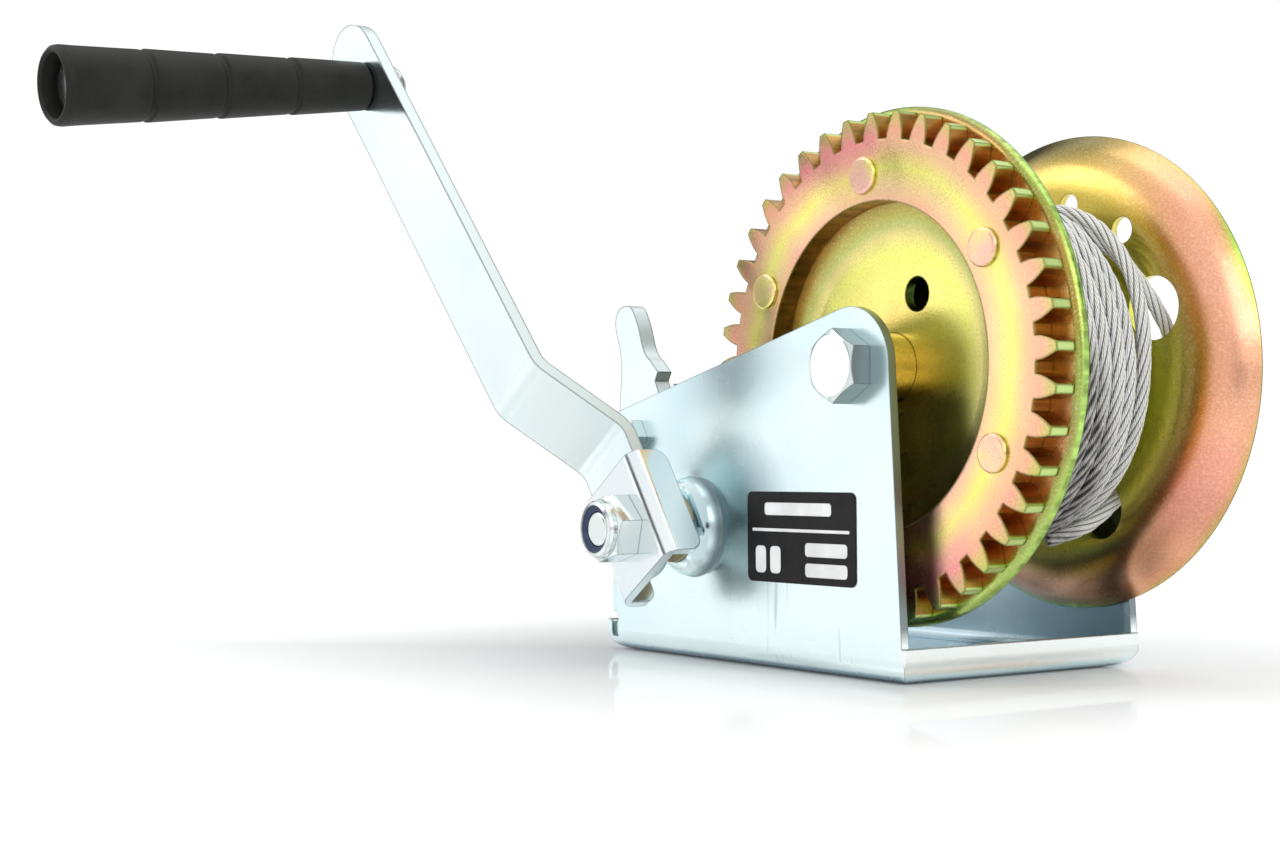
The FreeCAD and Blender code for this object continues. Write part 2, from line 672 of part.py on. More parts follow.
def grip():
    """Tapered plastic handle, with the open recess for the pin head at its outer end."""
    start, end = -GRIP_GAP, -GRIP_GAP - GRIP_LENGTH
    floor = end + GRIP_RECESS_DEPTH

    def radius(distance):
        return GRIP_R0 + (GRIP_R1 - GRIP_R0) * distance / GRIP_LENGTH

    profile = [(GRIP_PIN_R + RUNNING_FIT, start), (radius(0) - 0.8, start), (radius(0), start - 0.8)]
    for groove in GRIP_GROOVES:
        r = radius(groove)
        profile.append((r + 0.15, start - groove + 1.3))
        profile.append((r - 0.55, start - groove + 0.6))
        profile.append((r - 0.55, start - groove - 0.4))
        profile.append((r + 0.0, start - groove - 1.2))
    profile.append((radius(GRIP_LENGTH - 6), end + 6))
    profile.append((radius(GRIP_LENGTH), end + 2.4))
    profile.append((radius(GRIP_LENGTH) - 0.25, end + 0.9))
    profile.append((radius(GRIP_LENGTH) - 1.2, end))
    profile.append((GRIP_RECESS_R + 0.6, end))
    profile.append((GRIP_RECESS_R, end + 0.8))
    profile.append((GRIP_RECESS_R, floor))
    profile.append((GRIP_PIN_R + RUNNING_FIT, floor))
    return turned(profile)


def crank_parts():
    save("crank_shaft", crank_shaft())
    pinion = gear(PINION_TEETH, PINION_TIP_R, PINION_ROOT_R, SHAFT_R, PINION_SPACE_ANGLE, PINION_Y0, PINION_Y1)
    save("pinion", moved(pinion, HUB))
    save("ratchet_wheel", ratchet_wheel())
    clip_y = PLATE_OUT + 1.5
    ring = tube(10.0, SHAFT_R - 1, clip_y, clip_y + 1.2)
    mouth = Part.makeBox(8.4, 3, 20, V(-4.2, clip_y - 1, -20))
    save("shaft_clip", moved(ring.cut(mouth), HUB))
    seat = HUB_SEAT_Y - HUB_WASHER_H
    save("crank_washer", tube(12.0, 6.2, seat, HUB_SEAT_Y, SHAFT_X, SHAFT_Z))
    save("crank_arm", crank_arm())
    save("crank_bracket", crank_bracket())
    nut_seat = seat - ARM_T - CLIP_SHEET
    save("crank_nut", moved(lock_nut(17, 10, M10_R, 75), V(SHAFT_X, nut_seat, SHAFT_Z)))
    save("crank_nut_ring", moved(nut_ring(10, M10_R), V(SHAFT_X, nut_seat, SHAFT_Z)))
    pin_end = -GRIP_LENGTH - GRIP_GAP + GRIP_RECESS_DEPTH
    pin = rod(GRIP_PIN_R, pin_end - 0.5, 0).fuse(rod(M8_R, 0, ARM_T + 9.6))
    pin = pin.fuse(moved(hex_head(13, 5.3), V(0, pin_end - GRIP_GAP, 0))).removeSplitter()
    pin = filleted(pin, 1.2, lambda e: e.BoundBox.YMin > ARM_T + 9.5)
    save("grip_bolt", grip_place(pin))
    nut = moved(lock_nut(13, 8, M8_R, 100), V(0, ARM_T, 0), FACE_FAR)
    save("grip_nut", grip_place(nut))
    save("grip_nut_ring", grip_place(moved(nut_ring(8, M8_R), V(0, ARM_T, 0), FACE_FAR)))
    save("grip", grip_place(grip()))


# ---------------------------------------------------------------- pawl

def pawl():
    """Lever above the plate, hub on the pivot, and a nose that reaches over the ratchet wheel."""
    back = [(-61.2, 66.0), (-67.5, 72.9), (-66.8, 80.3), (-66.7, 88.0), (-68.4, 94.2), (-69.7, 98.9)]
    tip = [(-68.8, 102.2), (-66.6, 103.9), (-63.8, 104.4), (-61.0, 103.6), (-58.9, 101.0)]
    front = [(-56.7, 96.6), (-54.6, 91.0), (-50.9, 87.2)]
    hook = [(-46.7, 83.5), (-48.3, 80.8), (-46.8, 78.1), (-43.5, 73.5)]
    nose = [(-33.0, 70.6), (-22.0, 68.4), (-19.2, 66.8), (-19.2, 62.8), (-23.6, 63.0), (-25.8, 65.0)]
    belly = [(-34.0, 63.2), (-42.6, 59.6)]
    curve = Part.BSplineCurve()
    curve.interpolate([V(x, PAWL_Y0, z) for x, z in back + tip + front])
    edges = [curve.toShape()]
    corners = front[-1:] + hook + nose + belly
    places = [V(x, PAWL_Y0, z) for x, z in corners]
    edges += [Part.makeLine(a, b) for a, b in zip(places, places[1:])]
    under = V(PIVOT_X + 0.5, PAWL_Y0, PIVOT_Z - 10.0)
    edges.append(Part.Arc(places[-1], under, V(back[0][0], PAWL_Y0, back[0][1])).toShape())
    body = Part.Face(Part.Wire(edges)).extrude(V(0, PAWL_Y1 - PAWL_Y0, 0))
    return body.cut(rod(PAWL_BUSH_R + RUNNING_FIT, PAWL_Y0 - 1, PAWL_Y1 + 1, PIVOT_X, PIVOT_Z))


def pawl_spring():
    """Torsion spring round the pivot bush, one leg on the lever and one down."""
    wire_r, coil_r, turns, pitch = 0.6, 6.0, 4, 1.3
    y0 = PAWL_Y1 + wire_r
    helix = Part.makeHelix(pitch, pitch * turns, coil_r)
    section = Part.Wire(Part.makeCircle(wire_r, V(coil_r, 0, 0), V(0, 1, 0)))
    coil = Part.Wire(helix.Edges).makePipeShell([section], True, True)
    up_leg = Part.makeCylinder(wire_r, 16, V(coil_r, 0, 0), V(0, -1, 0))
    low_leg = Part.makeCylinder(wire_r, 14, V(coil_r, 0, pitch * turns), V(0, 1, 0))
    spring = coil.fuse(up_leg).fuse(low_leg)
    return moved(spring, V(PIVOT_X, y0, PIVOT_Z), FreeCAD.Rotation(V(1, 0, 0), -90))


def pawl_parts():
    bush_end = PAWL_Y1 + 6.6
    head = moved(hex_head(10, 4, 0), V(PIVOT_X, -PLATE_OUT, PIVOT_Z))
    shank = rod(M6_R, -PLATE_OUT, bush_end + 9.2, PIVOT_X, PIVOT_Z)
    save("pawl_bolt", head.fuse(shank).removeSplitter())
    collar = tube(7.5, M6_R, -PLATE_IN, PAWL_Y0 - 0.3, PIVOT_X, PIVOT_Z)
    bush = tube(PAWL_BUSH_R, M6_R, PAWL_Y0 - 0.3, bush_end, PIVOT_X, PIVOT_Z)
    save("pawl_bush", collar.fuse(bush).removeSplitter())
    save("pawl_washer", tube(8.0, M6_R, bush_end, bush_end + 1.2, PIVOT_X, PIVOT_Z))
    place = V(PIVOT_X, bush_end + 1.2, PIVOT_Z)
    save("pawl_nut", moved(lock_nut(10, 6.5, M6_R), place, FACE_FAR))
    save("pawl", pawl())
    save("pawl_spring", pawl_spring())


os.makedirs("parts", exist_ok=True)
root_parts()
drum_parts()
crank_parts()
pawl_parts()
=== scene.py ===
import json
import math

import bmesh
import bpy
from mathutils import Matrix, Vector, noise


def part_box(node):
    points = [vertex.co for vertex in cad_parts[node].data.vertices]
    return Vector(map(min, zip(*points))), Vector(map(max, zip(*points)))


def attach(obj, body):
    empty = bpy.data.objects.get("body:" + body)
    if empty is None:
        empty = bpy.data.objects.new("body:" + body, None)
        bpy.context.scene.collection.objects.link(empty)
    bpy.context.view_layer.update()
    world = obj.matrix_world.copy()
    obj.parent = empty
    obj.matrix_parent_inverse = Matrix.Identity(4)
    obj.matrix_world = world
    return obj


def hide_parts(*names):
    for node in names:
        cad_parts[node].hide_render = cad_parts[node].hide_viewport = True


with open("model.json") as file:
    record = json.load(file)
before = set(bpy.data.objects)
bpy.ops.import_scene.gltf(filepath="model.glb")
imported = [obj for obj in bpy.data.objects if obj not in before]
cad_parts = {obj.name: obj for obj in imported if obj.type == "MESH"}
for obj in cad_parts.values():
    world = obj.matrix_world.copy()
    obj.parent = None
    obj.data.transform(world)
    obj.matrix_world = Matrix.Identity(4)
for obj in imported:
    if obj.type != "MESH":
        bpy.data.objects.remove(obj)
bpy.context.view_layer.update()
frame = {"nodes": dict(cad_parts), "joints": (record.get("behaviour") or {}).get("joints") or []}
nodes = frame["nodes"]
scene = bpy.context.scene
MM = 0.001
WHITE = (1.0, 1.0, 1.0)

# Axes of the drum and the crank shaft, and faces of the folded frame, in millimetres
joint_places = {joint["name"]: [p / MM for p in joint["pos_m"]] for joint in frame["joints"]}
AXLE = Vector(joint_places["drum_spin"])
SHAFT = Vector(joint_places["crank_spin"])
folded_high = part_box("frame")[1] / MM
SHEET = 2.5
BASE_FRONT, LIP_INSIDE = folded_high.x, folded_high.x - SHEET
PLATE_OUTSIDE, PLATE_INSIDE = folded_high.y, folded_high.y - SHEET


# ---------------------------------------------------------------- camera

def camera():
    """Low three-quarter view, crank side and rope side in sight."""
    azimuth, elevation, roll = math.radians(56.1), math.radians(-1.203), math.radians(-0.385)
    place = Vector((0.45388, -0.38082, 0.05625))
    back = Vector((
        math.sin(azimuth) * math.cos(elevation),
        -math.cos(azimuth) * math.cos(elevation),
        math.sin(elevation),
    ))
    level = Vector((math.cos(azimuth), math.sin(azimuth), 0.0))
    upright = back.cross(level)
    right = level * math.cos(roll) + upright * math.sin(roll)
    up = upright * math.cos(roll) - level * math.sin(roll)
    data = bpy.data.cameras.new("camera")
    data.sensor_width = 36.0
    data.lens = 57.17
    data.clip_start, data.clip_end = 0.01, 30.0
    cam = bpy.data.objects.new("camera", data)
    rows = [(right[i], up[i], back[i], place[i]) for i in range(3)]
    cam.matrix_world = Matrix((*rows, (0, 0, 0, 1)))
    scene.collection.objects.link(cam)
    scene.camera = cam


# ---------------------------------------------------------------- node helpers

class Shader:
    """Short way to write a node material; edge rounds the part's edges by that many millimetres."""

    def __init__(self, name, edge=0.0):
        self.material = bpy.data.materials.new(name)
        self.material.use_nodes = True
        self.tree = self.material.node_tree
        self.principled = self.tree.nodes["Principled BSDF"]
        self.coords = self.node("ShaderNodeTexCoord")
        self.rounded = None
        if edge:
            bevel = self.node("ShaderNodeBevel", samples=6, Radius=edge * MM)
            self.rounded = bevel.outputs["Normal"]

    def node(self, kind, **settings):
        """New node; a setting is a property of the node or, with _ for a blank, one of its inputs."""
        made = self.tree.nodes.new(kind)
        for key, value in settings.items():
            if hasattr(made, key):
                setattr(made, key, value)
            else:
                made.inputs[key.replace("_", " ")].default_value = value
        return made

    def link(self, source, target):
        self.tree.links.new(source, target)

    def put(self, value, socket):
        """Feed a socket from another node, a colour or a number."""
        if isinstance(value, bpy.types.NodeSocket):
            self.link(value, socket)
        elif hasattr(value, "__len__"):
            socket.default_value = (*value, 1.0)
        else:
            socket.default_value = value

    def set(self, **values):
        for key, value in values.items():
            self.put(value, self.principled.inputs[key.replace("_", " ")])

    # Patterns

    def stretched(self, scale):
        """Object coordinates scaled along each axis."""
        mapping = self.node("ShaderNodeMapping", Scale=scale)
        self.link(self.coords.outputs["Object"], mapping.inputs["Vector"])
        return mapping.outputs["Vector"]

    def noise(self, scale, detail, roughness, vector=None, distortion=0.0):
        made = self.node("ShaderNodeTexNoise", Scale=scale, Detail=detail, Roughness=roughness,
                         Distortion=distortion)
        self.link(vector or self.coords.outputs["Object"], made.inputs["Vector"])
        return made.outputs["Fac"]

    def ramp(self, fac, stops):
        made = self.node("ShaderNodeValToRGB")
        elements = made.color_ramp.elements
        while len(elements) < len(stops):
            elements.new(0.5)
        for element, (position, colour) in zip(elements, stops):
            element.position = position
            element.color = (*colour, 1.0)
        self.link(fac, made.inputs["Fac"])
        return made.outputs["Color"]

    def mix(self, fac, a, b):
        """a where fac is 0, b where it is 1."""
        made = self.node("ShaderNodeMix", data_type="RGBA")
        for value, name in ((fac, "Factor"), (a, "A"), (b, "B")):
            self.put(value, made.inputs[name])
        return made.outputs["Result"]

    # Numbers

    def math(self, operation, a, b=0.0):
        made = self.node("ShaderNodeMath", operation=operation)
        for value, socket in zip((a, b), made.inputs):
            self.put(value, socket)
        return made.outputs["Value"]

    def times(self, a, b):
        return self.math("MULTIPLY", a, b)

    def spread(self, value, low, high, to_low=0.0, to_high=1.0):
        """to_low where value is low, to_high where it is high, even in between and level beyond."""
        made = self.node("ShaderNodeMapRange", clamp=True, From_Min=low, From_Max=high, To_Min=to_low,
                         To_Max=to_high)
        self.link(value, made.inputs["Value"])
        return made.outputs["Result"]

    def root_of_squares(self, a, b):
        return self.math("SQRT", self.math("ADD", self.times(a, a), self.times(b, b)))

    # Places on the part

    def separate(self, vector):
        made = self.node("ShaderNodeSeparateXYZ")
        self.link(vector, made.inputs[0])
        return made.outputs

    def place(self):
        """X, Y and Z in the shared frame, in metres."""
        return self.separate(self.coords.outputs["Object"])

    def zone(self, value, none, full, most=1.0):
        """0 where value is none millimetres, most where it is full millimetres."""
        return self.spread(value, none * MM, full * MM, 0.0, most)

    def distance(self, centre):
        """Distance from the line along Y through centre, in metres."""
        place = self.place()
        across = self.math("SUBTRACT", place["X"], centre.x * MM)
        above = self.math("SUBTRACT", place["Z"], centre.z * MM)
        return self.root_of_squares(across, above)

    def near(self, centre, inner, outer):
        """1 within inner millimetres of the line along Y through centre, fading to 0 at outer."""
        return self.zone(self.distance(centre), outer, inner)

    def normal_y(self):
        return self.separate(self.coords.outputs["Normal"])["Y"]

    def facing(self):
        """1 on faces that look along Y, 0 on faces square to them."""
        return self.math("ABSOLUTE", self.normal_y())

    def sideways(self):
        """1 on the cut faces of a plate that looks along Y, 0 on its big faces."""
        return self.spread(self.facing(), 0.55, 0.20)

    def edges(self):
        """1 along the part's rounded edges, 0 elsewhere."""
        dot = self.node("ShaderNodeVectorMath", operation="DOT_PRODUCT")
        self.link(self.rounded, dot.inputs[0])
        self.link(self.node("ShaderNodeNewGeometry").outputs["Normal"], dot.inputs[1])
        return self.spread(dot.outputs["Value"], 0.992, 0.93)

    def bump(self, height, distance, strength):
        """Bump from a height in 0..1 over distance millimetres, on the rounded edges."""
        made = self.node("ShaderNodeBump", Distance=distance * MM, Strength=strength)
        self.link(height, made.inputs["Height"])
        if self.rounded:
            self.link(self.rounded, made.inputs["Normal"])
        self.set(Normal=made.outputs["Normal"])


# ---------------------------------------------------------------- zinc

def zinc(name, tint, roughness, cloud, edge=0.5, cut_edge=None, sheet=False):
    """Bright zinc plate: pale blue-green grey, softly cloudy, with fine spangle, and painted shade along its
    rounded edges.

    cut_edge: colour painted on the faces square to the part's big faces, as their shade.
    sheet: the folded frame, which has scratches, painted shade and painted light of its own, and shaded cut
    faces only above the bends.
    """
    s = Shader(name, edge)
    spangle = s.noise(1300.0, 2.0, 0.7)
    pale = tuple(min(1.0, c * 1.08) for c in tint)
    deep = (tint[0] * 0.84, tint[1] * 0.92, tint[2] * 0.96)
    warm = (tint[0] * 1.04, tint[1] * 0.97, tint[2] * 0.92)
    base = s.ramp(s.noise(16.0, 2.0, 0.45), [(0.30, deep), (0.50, tint), (0.72, pale)])
    base = s.mix(s.spread(s.noise(30.0, 2.0, 0.5), 0.45, 0.75, 0.0, 0.5 * cloud), base, warm)
    base = s.mix(s.spread(spangle, 0.45, 0.72, 0.0, 0.30 * cloud), base, deep)
    rough = s.spread(s.noise(50.0, 2.0, 0.5), 0.3, 0.7, *roughness)
    height = s.times(spangle, 0.8)
    if sheet:
        base, rough, height = plate_scratches_and_painted_light(s, base, rough, height)
    if cut_edge:
        # Faces square to the big faces are painted cut_edge as their shade; on parts other than the frame,
        # faces half turned away get some of it too
        side = s.sideways()
        if sheet:
            side = s.times(side, s.zone(s.place()["Z"], 10.0, 14.0))
        else:
            base = s.mix(s.spread(s.facing(), 0.95, 0.86, 0.0, 0.35), base, cut_edge)
        base = s.mix(s.times(side, 0.9), base, cut_edge)
        rough = s.mix(side, rough, (0.42, 0.42, 0.42))
    # Painted shade along the rounded edges
    base = s.mix(s.times(s.edges(), 0.85), base, (0.13, 0.17, 0.18))
    s.set(Metallic=1.0, Base_Color=base, Roughness=rough)
    s.bump(height, 0.03, 0.5)
    return s.material


def plate_scratches_and_painted_light(s, base, rough, height):
    """Low scratches, a painted dark reflection beside the drawn boss, painted shade on the insides of the
    plates and painted light on the front lip.
    """
    place = s.place()
    off_middle = s.math("ABSOLUTE", place["Y"])
    streak = s.noise(1.0, 1.0, 0.5, s.stretched((430.0, 430.0, 22.0)))
    scratch = s.times(s.spread(streak, 0.68, 0.76), s.zone(place["Z"], 40.0, 8.0))
    outside = s.spread(off_middle, (PLATE_INSIDE + 0.5) * MM, (PLATE_OUTSIDE - 0.5) * MM, 0.15, 1.0)
    scratch = s.times(scratch, s.times(outside, 0.8))
    base = s.mix(scratch, base, (0.40, 0.50, 0.53))
    height = s.math("SUBTRACT", height, scratch)
    # Painted dark reflection of the boss and bracket on the near plate, beside the boss
    boss_dark_reflection = s.near(SHAFT + Vector((23.0, 0.0, 6.0)), 4.0, 22.0)
    near_plate = s.zone(place["Y"], 0.0, -38.0)
    base = s.mix(s.times(s.times(boss_dark_reflection, near_plate), 0.72), base, (0.13, 0.24, 0.30))
    rough = s.mix(s.near(SHAFT, 14.0, 18.0), rough, (0.12, 0.12, 0.12))
    # Painted shade on the faces between the plates
    inside = s.zone(off_middle, PLATE_INSIDE + 1.2, PLATE_INSIDE + 0.4)
    inside = s.times(inside, s.zone(place["X"], LIP_INSIDE, LIP_INSIDE - 1.5))
    base = s.mix(s.times(inside, 0.72), base, (0.34, 0.46, 0.54))
    # Painted light on the front face of the lip
    base = s.mix(s.zone(place["X"], BASE_FRONT - 1.6, BASE_FRONT - 0.6, 0.85), base, (0.97, 1.0, 0.98))
    return base, rough, height


# ---------------------------------------------------------------- yellow chromate

def chromate(name, stops, scale, rings=(), share=1.0, edge=0.4, cut_edge=None, tip=None, front_only=False,
             gilt=None):
    """Yellow chromate over zinc: gold, green and pink that follow the plating's thickness, with painted
    shade along the rounded edges and on the cut faces.

    stops and scale: colours of the clouds and how small the clouds are.
    rings: pairs of millimetres from the drum's axis and the colour there, mixed in by share; with
        front_only the face towards the rope has none.
    cut_edge: colour painted on the faces square to the disc as their shade, with lighter streaks painted on
    it as highlights.
    tip: millimetres from the drum's axis beyond which the cut edge has a colour of its own, and that colour.
    gilt: colour of the thicker plating high up on the disc.
    """
    s = Shader(name, edge)
    base = s.ramp(s.noise(scale, 2.0, 0.5, distortion=0.4), stops)
    if rings:
        if front_only:
            share = s.times(s.spread(s.normal_y(), 0.3, 0.1), share)
        base = s.mix(share, base, ring_colours(s, rings))
    if gilt:
        base = gilded_with_dark_reflection(s, base, gilt)
    speck = s.noise(1500.0, 2.0, 0.7)
    base = s.mix(s.spread(speck, 0.50, 0.72, 0.0, 0.30), base, (0.98, 0.90, 0.55))
    base = s.mix(s.spread(speck, 0.46, 0.28, 0.0, 0.35), base, (0.42, 0.34, 0.08))
    if cut_edge:
        # Faces square to the disc are painted cut_edge as shade, with lighter streaks as painted highlights
        streak = s.noise(1.0, 2.0, 0.5, s.stretched((420.0, 60.0, 420.0)))
        shade = s.mix(s.spread(streak, 0.35, 0.65), cut_edge, tuple(c * 2.2 for c in cut_edge))
        if tip:
            tip_from, tip_colour = tip
            shade = s.mix(s.zone(s.distance(AXLE), tip_from - 0.4, tip_from), shade, tip_colour)
        base = s.mix(s.times(s.sideways(), 0.92), base, shade)
    # Painted shade along the rounded edges
    base = s.mix(s.times(s.edges(), 0.80), base, (0.13, 0.17, 0.02))
    s.set(Metallic=1.0, Base_Color=base, Roughness=s.spread(s.noise(60.0, 3.0, 0.5), 0.3, 0.7, 0.20, 0.34))
    s.bump(speck, 0.05, 0.5)
    return s.material


def ring_colours(s, rings):
    """Colour by distance from the drum's axis, on rings that waver by a few millimetres."""
    waver = s.times(s.math("SUBTRACT", s.noise(22.0, 2.0, 0.5), 0.5), 10.0 * MM)
    radius = s.math("ADD", s.distance(AXLE), waver)
    low, high = rings[0][0], rings[-1][0]
    stops = [((r - low) / (high - low), colour) for r, colour in rings]
    return s.ramp(s.zone(radius, low, high), stops)


def gilded_with_dark_reflection(s, base, gilt):
    """More golden plating high on the disc, fading towards its front, with a painted dark reflection along
    the rim at the top.
    """
    place = s.place()
    high_up = s.times(s.zone(place["X"], 92.0, 62.0), s.zone(place["Z"], 98.0, 122.0))
    base = s.mix(s.times(high_up, 0.7), base, gilt)
    # Painted dark reflection along the top of the rim
    dark_rim_reflection = s.times(s.zone(place["X"], 88.0, 60.0), s.zone(place["Z"], 134.0, 142.0))
    return s.mix(s.times(dark_rim_reflection, 0.85), base, tuple(c * 0.22 for c in gilt))


def gear_chromate():
    stops = (
        (0.36, (0.90, 0.92, 0.34)),
        (0.46, (0.99, 0.88, 0.24)),
        (0.52, (0.99, 0.66, 0.38)),
        (0.58, (0.98, 0.42, 0.40)),
    )
    rings = (
        (42.0, (0.96, 0.36, 0.36)),
        (46.0, (0.99, 0.60, 0.36)),
        (51.0, (0.99, 0.90, 0.20)),
        (56.0, (0.98, 0.46, 0.34)),
        (61.0, (0.94, 0.28, 0.31)),
        (64.0, (0.62, 0.38, 0.17)),
        (67.0, (0.36, 0.48, 0.08)),
    )
    return chromate("chromate_gear", stops, 24.0, rings, 0.72, edge=1.0, cut_edge=(0.27, 0.14, 0.035),
                    tip=(66.0, (0.58, 0.76, 0.28)))


def near_disc_chromate():
    stops = (
        (0.32, (0.60, 0.70, 0.08)),
        (0.44, (0.97, 0.90, 0.18)),
        (0.54, (0.98, 0.76, 0.26)),
        (0.62, (0.97, 0.50, 0.34)),
    )
    # The olive rings at 37.5 and 40 mm are painted shade on the dish's slope, the dark brown at 44 mm is
    # painted shade beside the gear's inner edge, and the dark ring at 66.4 mm is a painted shadow just
    # inside the green rim
    rings = (
        (10.0, (0.96, 0.70, 0.20)),
        (22.0, (0.98, 0.86, 0.24)),
        (31.0, (0.88, 0.88, 0.20)),
        (35.0, (0.78, 0.66, 0.26)),
        (37.5, (0.50, 0.56, 0.18)),
        (40.0, (0.46, 0.40, 0.10)),
        (44.0, (0.26, 0.14, 0.04)),
        (56.0, (0.52, 0.19, 0.07)),
        (65.0, (0.46, 0.20, 0.06)),
        (66.4, (0.22, 0.26, 0.05)),
        (68.0, (0.36, 0.60, 0.12)),
    )
    return chromate("chromate_near_disc", stops, 15.0, rings, 0.86, edge=0.6, cut_edge=(0.24, 0.38, 0.09),
                    front_only=True)


def far_disc_chromate():
    stops = (
        (0.32, (0.66, 0.76, 0.08)),
        (0.44, (0.94, 0.88, 0.14)),
        (0.54, (0.70, 0.40, 0.14)),
        (0.64, (0.90, 0.40, 0.36)),
    )
    rings = (
        (20.0, (0.80, 0.80, 0.10)),
        (42.0, (0.96, 0.96, 0.14)),
        (48.0, (0.62, 0.48, 0.10)),
        (53.0, (0.46, 0.19, 0.08)),
        (57.5, (0.80, 0.26, 0.24)),
        (62.0, (0.88, 0.33, 0.31)),
        (64.5, (0.84, 0.32, 0.28)),
        (65.6, (0.62, 0.36, 0.16)),
        (66.4, (0.30, 0.56, 0.08)),
    )
    return chromate("chromate_far_disc", stops, 12.0, rings, 0.82, gilt=(0.88, 0.70, 0.14))


def rivet_chromate():
    stops = (
        (0.26, (0.80, 0.78, 0.20)),
        (0.38, (0.97, 0.80, 0.30)),
        (0.50, (0.98, 0.62, 0.42)),
        (0.66, (0.96, 0.50, 0.46)),
    )
    return chromate("chromate_rivets", stops, 60.0, cut_edge=(0.30, 0.32, 0.08))


def sleeve_chromate():
    return chromate("chromate_sleeve", ((0.3, (0.34, 0.38, 0.08)), (0.7, (0.62, 0.46, 0.14))), 40.0)


# ---------------------------------------------------------------- plain metals, plastics and rope wire

def plain_metal(name, colour, rough=0.3):
    s = Shader(name, 0.3)
    fine = s.noise(700.0, 3.0, 0.6)
    dark = tuple(c * 0.72 for c in colour)
    base = s.ramp(s.noise(90.0, 4.0, 0.6), [(0.3, dark), (0.65, colour)])
    s.set(Metallic=1.0, Base_Color=base, Roughness=s.spread(fine, 0.3, 0.7, rough - 0.07, rough + 0.08))
    s.bump(fine, 0.05, 0.3)
    return s.material


def plastic(name, colour, rough, grain=0.5, specular=0.4):
    s = Shader(name, 0.3)
    fine = s.noise(1500.0, 2.0, 0.6)
    wear = s.noise(60.0, 4.0, 0.6)
    lighter = tuple(min(1.0, c * 1.5 + 0.006) for c in colour)
    base = s.ramp(wear, [(0.35, colour), (0.75, lighter)])
    s.set(Metallic=0.0, Specular_IOR_Level=specular, Base_Color=base)
    s.set(Roughness=s.spread(wear, 0.3, 0.7, rough - 0.05, rough + 0.07))
    s.bump(fine, 0.04, grain)
    return s.material


def rope_material():
    """Bright galvanised wires; the mesh carries the wires' pitch and the depth between strands, and painted
    shade darkens the grooves between wires, the valleys between strands and the low turns beside the near
    flange.
    """
    s = Shader("rope_wires")
    wires = s.separate(s.node("ShaderNodeUVMap", uv_map="wires").outputs["UV"])
    wave = s.math("SINE", s.times(wires["X"], 2 * math.pi))
    height = s.spread(wave, -1.0, 1.0)
    depth = s.node("ShaderNodeAttribute", attribute_name="valley").outputs["Fac"]
    tone = s.noise(160.0, 3.0, 0.6)
    base = s.ramp(tone, [(0.30, (0.86, 0.87, 0.86)), (0.55, (0.95, 0.96, 0.95)), (0.80, WHITE)])
    # Painted shade in the grooves between the wires and, darker, in the valleys between strands
    base = s.mix(s.spread(height, 0.36, 0.0, 0.0, 0.62), base, (0.12, 0.12, 0.11))
    base = s.mix(s.spread(depth, 0.58, 1.0, 0.0, 0.96), base, (0.02, 0.02, 0.018))
    # Painted shade between the strands of the turns that lie low and beside the near flange
    place = s.place()
    low_and_near = s.math("ADD", place["Z"], s.times(place["Y"], 2.5))
    painted_shade = s.times(s.zone(low_and_near, 93.0, 76.0), s.zone(place["Z"], 100.0, 82.0))
    painted_shade = s.times(painted_shade, s.spread(depth, 0.05, 0.55, 0.50, 1.0))
    patches = s.spread(s.noise(260.0, 2.0, 0.5), 0.35, 0.60, 0.55, 1.0)
    base = s.mix(s.times(painted_shade, patches), base, (0.05, 0.05, 0.045))
    s.set(Metallic=0.15, Specular_IOR_Level=0.3, Base_Color=base, Roughness=0.38)
    s.bump(height, 0.15, 0.9)
    return s.material


# ---------------------------------------------------------------- the nodes' materials

def paint(material, *names):
    for name in names:
        materials = nodes[name].data.materials
        materials.clear()
        materials.append(material)


def node_materials():
    folded = zinc("zinc_sheet", (0.80, 0.93, 0.935), (0.22, 0.32), 0.6, cut_edge=(0.20, 0.24, 0.25),
                  sheet=True)
    arm = zinc("zinc_arm", (0.84, 0.925, 0.935), (0.13, 0.20), 0.4, edge=0.9, cut_edge=(0.58, 0.65, 0.64))
    bolt = zinc("zinc_bolt", (0.92, 0.95, 0.92), (0.14, 0.22), 0.4, edge=0.6, cut_edge=(0.24, 0.29, 0.29))
    hardware = zinc("zinc_hardware", (0.80, 0.84, 0.82), (0.10, 0.18), 0.3)
    paint(folded, "frame")
    paint(arm, "crank_arm", "pawl")
    paint(zinc("zinc_clip", (0.84, 0.87, 0.88), (0.14, 0.22), 0.4), "crank_bracket")
    paint(bolt, "axle_bolt")
    paint(hardware, "axle_nut", "axle_washer", "pawl_bolt", "pawl_nut", "pawl_washer", "crank_nut",
          "crank_washer", "crank_shaft", "grip_bolt", "grip_nut", "shaft_clip")
    paint(gear_chromate(), "gear_ring")
    paint(near_disc_chromate(), "flange_gear_side")
    paint(far_disc_chromate(), "flange_far_side")
    paint(rivet_chromate(), "gear_rivets", "drum_barrel")
    paint(sleeve_chromate(), "axle_sleeve")
    paint(plain_metal("gear_steel", (0.42, 0.42, 0.40), 0.34), "pinion", "ratchet_wheel")
    paint(plain_metal("bush_metal", (0.55, 0.42, 0.24), 0.4), "shaft_bush_near", "shaft_bush_far",
          "pawl_bush")
    paint(plain_metal("ferrule_metal", (0.70, 0.70, 0.70)), "rope_ferrule")
    paint(plain_metal("spring_steel", (0.40, 0.41, 0.42), 0.25), "pawl_spring")
    paint(plastic("nylon", (0.006, 0.018, 0.07), 0.3), "axle_nut_ring", "crank_nut_ring", "grip_nut_ring")
    paint(plastic("grip_plastic", (0.014, 0.014, 0.012), 0.5, specular=0.16), "grip")
    paint(plastic("label_film", (0.010, 0.009, 0.010), 0.30, 0.1, specular=0.12), "label")


